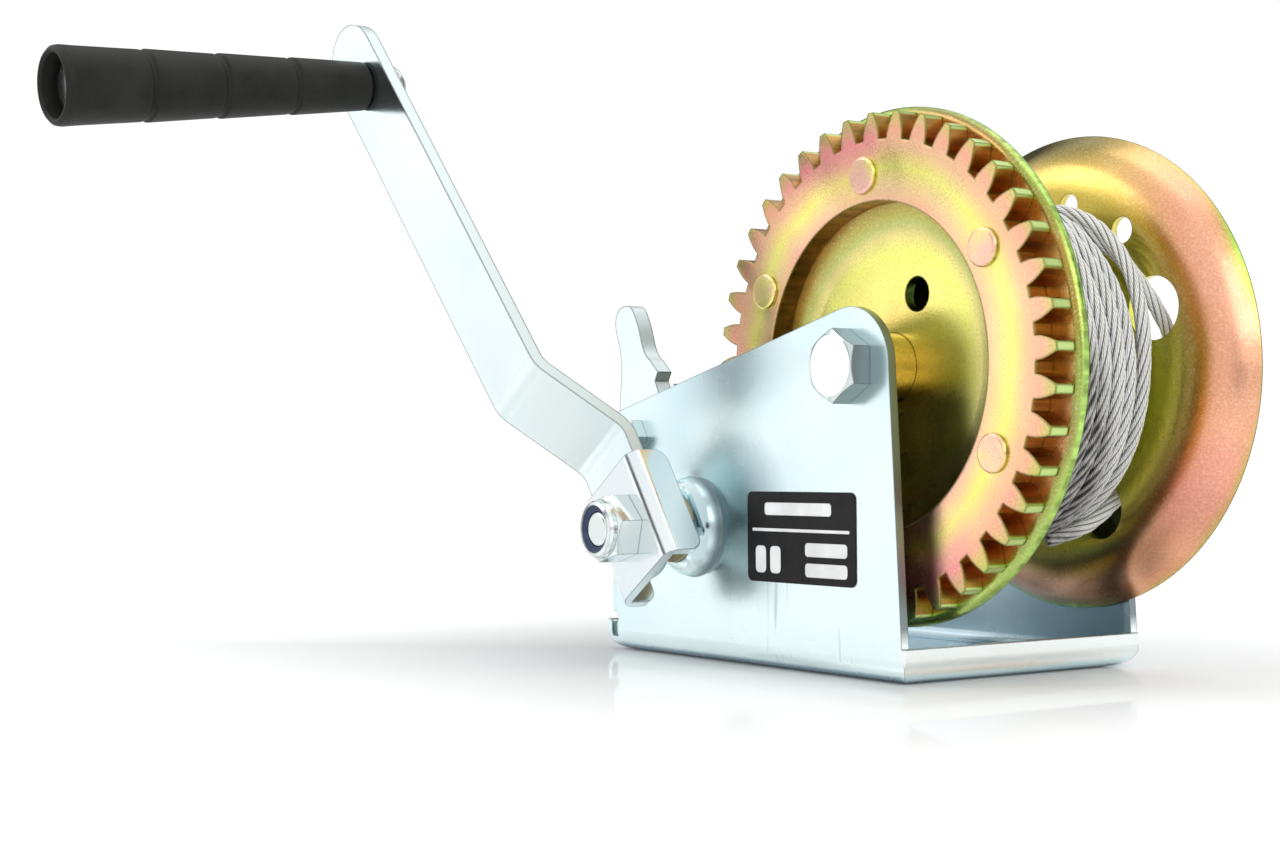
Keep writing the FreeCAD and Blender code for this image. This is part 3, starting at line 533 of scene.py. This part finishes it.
# ---------------------------------------------------------------- the rope's route

# Rope and its route round the drum, in millimetres and degrees; the whole length is in metres
ROPE_R = 2.0
TURN_STEPS = 24
NEAR_Y, FAR_Y = -21.6, 25.4
# Inner end, out through the barrel's wall: radius, degrees past the anchor, place along the drum
ANCHOR_R, ANCHOR_ANGLE = 20.9, 63.3
INNER_END = ((ANCHOR_R, 0, -21.0), (ANCHOR_R, 0, -10.0), (22.0, 3, -2.0), (25.5, 14, 4.0), (28.4, 32, 8.0))
FIRST_LAYER_ANGLE, FIRST_LAYER_Y = ANCHOR_ANGLE - 50.0, 9.0
# Even layers from the barrel outward: radius, side they run to, distance between turns
LAYERS = ((29.0, NEAR_Y, 4.5), (32.7, FAR_Y, 4.5), (36.4, NEAR_Y, 4.5), (40.1, 14.5, 4.1))
# Loose turns on top: their radius, and turns from the end of the even layers with the place along the drum
LOOSE_R = 44.1
LOOSE_PLACES = (
    (0.0, 14.5), (0.9, -6.0), (2.0, -1.0), (3.0, 4.4), (4.0, 9.3), (5.0, 14.6), (5.9, 20.0), (6.3, 22.2),
    (6.7, 21.5), (7.0, 20.6),
)
LOOSE_TURNS = LOOSE_PLACES[-1][0]
# The first loose turn climbs out of the last even layer
CLIMB, CLIMB_TURNS = 4.0, 0.12
# Turns near the far flange sink between these places along the drum, and rise again over the last half turn
SINK, SINK_FROM, SINK_TO = 2.8, 13.0, 20.0
RISE_TURNS = 0.5
# Where loose turns bulge: how far out, angle round the drum, half-width, first and last of the turns
BULGES = (
    (1.9, -80.0, 75.0, 0.0, LOOSE_TURNS),
    (1.0, 85.0, 60.0, 0.0, LOOSE_TURNS),
    (3.2, 91.0, 62.0, 1.3, 3.6),
    (4.6, 48.0, 58.0, 5.6, 6.5),
)
# Loose turns fan out to the near side at the top of the drum, the last ones least
FAN, FAN_ANGLE, FAN_HALF_WIDTH, FAN_TURNS = 2.6, 75.0, 70.0, 6.0
# Free end: the angle where it leaves the turns, then points from the drum's middle through two flange holes
TAIL_ANGLE = 58.0
TAIL = (
    (28.6, 20.5, 33.4), (34.2, 22.6, 28.0), (38.9, 27.0, 19.2), (41.4, 35.2, 5.0), (37.6, 36.4, -12.0),
    (27.0, 36.0, -28.6), (20.6, 26.4, -40.9), (18.6, 19.2, -44.3), (14.6, 13.2, -46.2),
)
# Points round a circle lie this many times further out than the smooth line through them
OVERSHOOT = 2 / (1 + math.cos(math.pi / TURN_STEPS))


def about_axle(radius, degrees, y):
    a = math.radians(degrees)
    return AXLE + Vector((radius * math.cos(a), y, radius * math.sin(a)))


def swell(degrees, centre, half_width):
    """Smooth bump of height 1 at centre that ends half_width away."""
    away = abs((degrees - centre + 180.0) % 360.0 - 180.0) / half_width
    return 0.5 + 0.5 * math.cos(math.pi * away) if away < 1 else 0.0


def wander(most, *seed):
    return most * noise.noise(Vector(seed))


def along(places, turn):
    for (t0, y0), (t1, y1) in zip(places, places[1:]):
        if turn <= t1:
            return y0 + (y1 - y0) * (turn - t0) / (t1 - t0)
    return places[-1][1]


def even_layers():
    """Points of the layers from the barrel outward, and the angle where they end."""
    angle, start = FIRST_LAYER_ANGLE, FIRST_LAYER_Y
    points = []
    for radius, goal, pitch in LAYERS:
        steps = round(abs(goal - start) / pitch * TURN_STEPS)
        for i in range(steps):
            y = start + (goal - start) * i / steps + wander(0.5, i / TURN_STEPS * 1.3, radius, 0.0)
            points.append(about_axle(radius * OVERSHOOT, angle, y))
            angle -= 360.0 / TURN_STEPS
        start = goal
    return points, angle


def loose_turns(first_angle):
    """Points of the loose turns, which end at the angle where the free end leaves them."""
    last_turn = LOOSE_TURNS - 1 + (first_angle - TAIL_ANGLE) % 360.0 / 360.0
    steps = round(last_turn * TURN_STEPS)
    spare = LOOSE_TURNS - last_turn
    points = []
    for i in range(1, steps):
        turn = i / steps * last_turn
        angle = first_angle - 360.0 * turn
        place = turn + spare if turn > 1.0 else turn * (1.0 + spare)
        y = along(LOOSE_PLACES, place)
        sink = SINK * min(1.0, max(0.0, (y - SINK_FROM) / (SINK_TO - SINK_FROM)))
        sink *= min(1.0, (LOOSE_TURNS - place) / RISE_TURNS)
        climb = CLIMB * max(0.0, 1.0 - turn / CLIMB_TURNS)
        radius = LOOSE_R - sink - climb + wander(0.5, turn * 2.1, 4.0, 1.0)
        for most, centre, half_width, first, last in BULGES:
            if first < place < last:
                radius += most * swell(angle, centre, half_width)
        fan = FAN * swell(angle, FAN_ANGLE, FAN_HALF_WIDTH) * max(0.0, 1.0 - place / FAN_TURNS)
        y += wander(0.9, turn * 1.7, 0.0, 7.0) - fan
        points.append(about_axle(radius * OVERSHOOT, angle, y))
    return points


def rope_route():
    """Inner end, even layers, loose turns on top and the free end through two holes of the far flange."""
    inner = [about_axle(radius, ANCHOR_ANGLE - past, y) for radius, past, y in INNER_END]
    layers, angle = even_layers()
    tail = [AXLE + Vector(p) for p in TAIL]
    return inner + layers + loose_turns(angle) + tail


def smooth_line(points):
    """Points of the smooth curve that a curve object draws along the route, in metres."""
    data = bpy.data.curves.new("rope_line", "CURVE")
    data.dimensions = "3D"
    spline = data.splines.new("NURBS")
    spline.points.add(len(points) - 1)
    for target, p in zip(spline.points, points):
        target.co = (*(p * MM), 1.0)
    spline.order_u = 3
    spline.use_endpoint_u = True
    data.resolution_u = 6
    obj = bpy.data.objects.new("rope_line", data)
    scene.collection.objects.link(obj)
    mesh = bpy.data.meshes.new_from_object(obj)
    line = [v.co.copy() for v in mesh.vertices]
    bpy.data.objects.remove(obj)
    bpy.data.curves.remove(data)
    bpy.data.meshes.remove(mesh)
    return line


def resampled(line, fine, coarse, fine_from):
    """Points along line, coarse apart at first and fine apart after the length fine_from."""
    lengths = [0.0]
    for a, b in zip(line, line[1:]):
        lengths.append(lengths[-1] + (b - a).length)
    total = lengths[-1]
    places = []
    at = 0.0
    while at < total:
        places.append(at)
        at += coarse if at < fine_from else fine
    places.append(total)
    result, i = [], 0
    for place in places:
        while i < len(line) - 2 and lengths[i + 1] < place:
            i += 1
        share = (place - lengths[i]) / max(1e-9, lengths[i + 1] - lengths[i])
        result.append(line[i].lerp(line[i + 1], share))
    return result, places


# ---------------------------------------------------------------- the rope's strands

# Section of the rope, in millimetres; each strand has points at STRAND_FACES degrees from its middle, and
# the valley between two strands is painted fully dark, as shade, FULL_VALLEY below the rope's surface
STRANDS = 6
STRAND_R = 0.667
STRAND_CENTRE = 1.333
VALLEY_R = 1.46
FULL_VALLEY = 0.5
STRAND_FACES = (-30.0, -22.0, -8.0, 8.0, 22.0)
# Millimetres of rope in one twist of the strands, and wires side by side round the rope
LAY = 32.0
WIRES = 24
# Millimetres between sections, finer over the last metres, which are seen
COARSE_STEP, FINE_STEP = 5.0, 1.35
SEEN_METRES = 5.2


def strand_radius(degrees):
    """Distance from the rope's middle to its surface, at an angle from a strand's middle."""
    a = math.radians(degrees)
    inside = max(0.0, STRAND_R ** 2 - (STRAND_CENTRE * math.sin(a)) ** 2)
    return max(VALLEY_R, STRAND_CENTRE * math.cos(a) + math.sqrt(inside))


def twisted_tube(rings, places):
    """Closed tube whose section is six strands, twisted along the rope's own line."""
    bm = bmesh.new()
    uv_layer = bm.loops.layers.uv.new("wires")
    valley = bm.verts.layers.float.new("valley")
    starts = [360.0 / STRANDS * strand for strand in range(STRANDS)]
    section = [(start + face, strand_radius(face)) for start in starts for face in STRAND_FACES]
    twists = [place / (LAY * MM) for place in places]
    last = len(rings) - 1
    tangents = [(rings[min(i + 1, last)] - rings[max(i - 1, 0)]).normalized() for i in range(last + 1)]
    side = Vector((0, 1, 0)).cross(tangents[0]).normalized()
    hoops = []
    for centre, tangent, twist in zip(rings, tangents, twists):
        side = (side - tangent * side.dot(tangent)).normalized()
        other = tangent.cross(side)
        hoop = []
        for degrees, radius in section:
            a = math.radians(degrees) + 2 * math.pi * twist
            v = bm.verts.new(centre + (side * math.cos(a) + other * math.sin(a)) * radius * MM)
            v[valley] = min(1.0, (ROPE_R - radius) / FULL_VALLEY)
            hoop.append(v)
        hoops.append(hoop)
    bm.faces.new(hoops[0][::-1])
    count = len(section)
    for i in range(last):
        for j in range(count):
            corners = ((i, j), (i + 1, j), (i + 1, j + 1), (i, j + 1))
            face = bm.faces.new([hoops[at][step % count] for at, step in corners])
            face.smooth = True
            for loop, (at, step) in zip(face.loops, corners):
                turns = step // count + section[step % count][0] / 360.0 + twists[at]
                loop[uv_layer].uv = (turns * WIRES, places[at] / (2 * ROPE_R * MM))
    bm.faces.new(hoops[-1])
    return bm


def closed_object(name, bm):
    """Object in the scene from bm, its faces turned outward."""
    bmesh.ops.recalc_face_normals(bm, faces=bm.faces)
    mesh = bpy.data.meshes.new(name)
    bm.to_mesh(mesh)
    bm.free()
    obj = bpy.data.objects.new(name, mesh)
    scene.collection.objects.link(obj)
    return obj


def stranded_rope():
    line = smooth_line(rope_route())
    total = sum((b - a).length for a, b in zip(line, line[1:]))
    rings, places = resampled(line, FINE_STEP * MM, COARSE_STEP * MM, total - SEEN_METRES)
    rope = closed_object("wire_rope", twisted_tube(rings, places))
    rope.data.materials.append(rope_material())
    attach(rope, "drum")
    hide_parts("rope_winding", "rope_tail", "rope_inner_end")


# ---------------------------------------------------------------- label

# Bars on the label: left, bottom, width and height as shares of the label's own
LABEL_BARS = (
    (0.17, 0.74, 0.62, 0.14),
    (0.05, 0.56, 0.90, 0.035),
    (0.55, 0.30, 0.38, 0.15),
    (0.55, 0.08, 0.38, 0.15),
    (0.08, 0.10, 0.10, 0.30),
    (0.22, 0.10, 0.10, 0.30),
)
# How far the print stands out of the label and reaches into it, in millimetres
PRINT_OUT, PRINT_IN = 0.04, 0.02


def bar_outline(x0, z0, x1, z1):
    """Rectangle with rounded corners."""
    r = min(x1 - x0, z1 - z0) * 0.3
    corners = ((x1 - r, z1 - r), (x0 + r, z1 - r), (x0 + r, z0 + r), (x1 - r, z0 + r))
    outline = []
    for quarter, (x, z) in enumerate(corners):
        for i in range(5):
            a = math.radians(quarter * 90 + i * 22.5)
            outline.append((x + r * math.cos(a), z + r * math.sin(a)))
    return outline


def label_marks():
    """Plain bars in place of the rating plate's print."""
    low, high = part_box("label")
    size = high - low
    bm = bmesh.new()
    for left, bottom, width, height in LABEL_BARS:
        x, z = low.x + left * size.x, low.z + bottom * size.z
        outline = bar_outline(x, z, x + width * size.x, z + height * size.z)
        outer = [bm.verts.new((px, low.y - PRINT_OUT * MM, pz)) for px, pz in outline]
        inner = [bm.verts.new((px, low.y + PRINT_IN * MM, pz)) for px, pz in outline]
        bm.faces.new(outer)
        bm.faces.new(inner[::-1])
        for i in range(len(outline)):
            bm.faces.new((outer[i - 1], outer[i], inner[i], inner[i - 1]))
    bars = closed_object("label_bars", bm)
    bars.data.materials.append(plastic("label_print", (0.72, 0.72, 0.72), 0.35, 0.1))
    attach(bars, "base")


# ---------------------------------------------------------------- studio

# The floor, in metres: half its side, how far its gloss reaches from the base, and where it fades
FLOOR_HALF = 2.0
GLOSS_REACH = 0.12
FADE_FROM, FADE_TO = 0.22, 0.85


def floor_material():
    """Pale and matt, glossy beside the base, clear towards its edge."""
    s = Shader("floor")
    s.set(Base_Color=(0.90, 0.905, 0.905), Roughness=0.6, Specular_IOR_Level=0.0)
    s.set(Emission_Color=WHITE, Emission_Strength=0.05)
    place = s.place()
    beside_x = s.math("SUBTRACT", s.math("ABSOLUTE", place["X"]), BASE_FRONT * MM)
    beside_y = s.math("SUBTRACT", s.math("ABSOLUTE", place["Y"]), PLATE_OUTSIDE * MM)
    polished = s.spread(s.math("MAXIMUM", beside_x, beside_y), 0.0, GLOSS_REACH, 0.42, 0.0)
    faded = s.spread(s.root_of_squares(place["X"], place["Y"]), FADE_FROM, FADE_TO)
    gloss = s.node("ShaderNodeBsdfGlossy", Roughness=0.04)
    clear = s.node("ShaderNodeBsdfTransparent")
    surface = s.principled.outputs[0]
    for share, other in ((polished, gloss), (faded, clear)):
        mixed = s.node("ShaderNodeMixShader")
        s.link(share, mixed.inputs[0])
        s.link(surface, mixed.inputs[1])
        s.link(other.outputs[0], mixed.inputs[2])
        surface = mixed.outputs[0]
    s.link(surface, s.tree.nodes["Material Output"].inputs["Surface"])
    return s.material


def floor():
    """Pale floor a hair below the base, so that the two don't touch."""
    bm = bmesh.new()
    bmesh.ops.create_grid(bm, x_segments=1, y_segments=1, size=FLOOR_HALF)
    mesh = bpy.data.meshes.new("floor")
    bm.to_mesh(mesh)
    bm.free()
    mesh.materials.append(floor_material())
    obj = bpy.data.objects.new("floor", mesh)
    obj.location = (0.0, 0.0, -0.0002)
    scene.collection.objects.link(obj)


def softbox(name, place, size, power):
    """Weak rectangular lamp, in metres and watts, that looks at the winch's middle."""
    data = bpy.data.lights.new(name, "AREA")
    data.shape = "RECTANGLE"
    data.size, data.size_y = size
    data.energy = power
    obj = bpy.data.objects.new(name, data)
    obj.location = place
    direction = Vector((0.0, 0.0, 0.08)) - Vector(place)
    obj.rotation_euler = direction.to_track_quat("-Z", "Y").to_euler()
    scene.collection.objects.link(obj)


# Regions of the studio: direction they lie in, half-angles where they are full and gone, brightness
REGIONS = (
    ((-0.662, -0.710, 0.242), 7.0, 20.0, 1.30),
    ((-0.88, 0.35, 0.34), 13.0, 30.0, 0.06),
    ((-0.10, 0.97, 0.22), 10.0, 28.0, 0.12),
    ((0.76, 0.46, 0.50), 9.0, 20.0, 0.15),
    ((-0.37, -0.87, 0.31), 7.0, 17.0, 0.10),
    ((0.83, -0.558, 0.03), 4.0, 11.0, 0.10),
)


def tent():
    """White world with a bright panel and dark gaps, which the camera itself sees as plain white."""
    world = bpy.data.worlds.new("studio")
    scene.world = world
    world.use_nodes = True
    tree = world.node_tree
    link = tree.links.new

    def spread(value, numbers):
        made = tree.nodes.new("ShaderNodeMapRange")
        made.interpolation_type = "SMOOTHSTEP"
        link(value, made.inputs["Value"])
        for key, number in zip(("From Min", "From Max", "To Min", "To Max"), numbers):
            made.inputs[key].default_value = number
        return made.outputs["Result"]

    direction = tree.nodes.new("ShaderNodeTexCoord").outputs["Generated"]
    split = tree.nodes.new("ShaderNodeSeparateXYZ")
    link(direction, split.inputs[0])
    light = spread(split.outputs["Z"], (-0.30, 0.10, 1.0, 1.05))
    for towards, full, gone, level in REGIONS:
        dot = tree.nodes.new("ShaderNodeVectorMath")
        dot.operation = "DOT_PRODUCT"
        link(direction, dot.inputs[0])
        dot.inputs[1].default_value = Vector(towards).normalized()
        edge = (math.cos(math.radians(gone)), math.cos(math.radians(full)), 1.0, level)
        product = tree.nodes.new("ShaderNodeMath")
        product.operation = "MULTIPLY"
        link(light, product.inputs[0])
        link(spread(dot.outputs["Value"], edge), product.inputs[1])
        light = product.outputs[0]
    background = tree.nodes["Background"]
    background.inputs["Color"].default_value = (0.985, 0.995, 1.0, 1.0)
    link(light, background.inputs["Strength"])
    white = tree.nodes.new("ShaderNodeBackground")
    white.inputs["Color"].default_value = (*WHITE, 1.0)
    white.inputs["Strength"].default_value = 1.05
    mixed = tree.nodes.new("ShaderNodeMixShader")
    link(tree.nodes.new("ShaderNodeLightPath").outputs["Is Camera Ray"], mixed.inputs[0])
    link(background.outputs[0], mixed.inputs[1])
    link(white.outputs[0], mixed.inputs[2])
    link(mixed.outputs[0], tree.nodes["World Output"].inputs["Surface"])


camera()
stranded_rope()
label_marks()
node_materials()
floor()
tent()
softbox("key", (-0.8, -0.9, 1.0), (0.9, 0.6), 2.6)
softbox("front", (1.2, -0.25, 0.7), (0.8, 0.8), 3.6)
softbox("top", (0.1, 0.2, 1.3), (1.0, 1.0), 2.4)
scene.view_settings.view_transform = "Standard"
